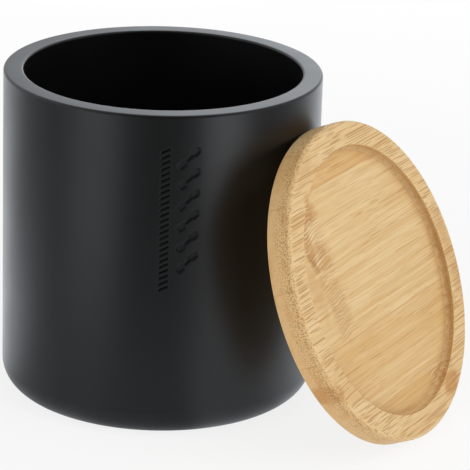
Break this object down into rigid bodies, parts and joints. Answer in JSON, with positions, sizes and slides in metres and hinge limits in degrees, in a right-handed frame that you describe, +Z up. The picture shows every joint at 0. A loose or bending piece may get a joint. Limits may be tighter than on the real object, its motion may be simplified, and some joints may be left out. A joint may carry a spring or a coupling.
{
  "type": "cotton swab box",
  "caption": "Round black ceramic pot with a flat turned bamboo lid, which is off and leans against the pot's side; holds cotton swabs or pads.",
  "frame": {"origin": "centre of the foot ring's underside, on the pot's axis", "axes": "+Z up along the pot's axis, -Y the pot's front; the lid leans on the side between -Y and +X"},
  "size_m": [0.1329, 0.1223, 0.094],
  "materials": {
    "black_ceramic": "satin black glaze",
    "bamboo": "sanded bamboo, clear matt oil"
  },
  "bodies": {
    "root": {"ceramic_pot": "black_ceramic", "bamboo_lid": "bamboo"}
  },
  "joints": []
}
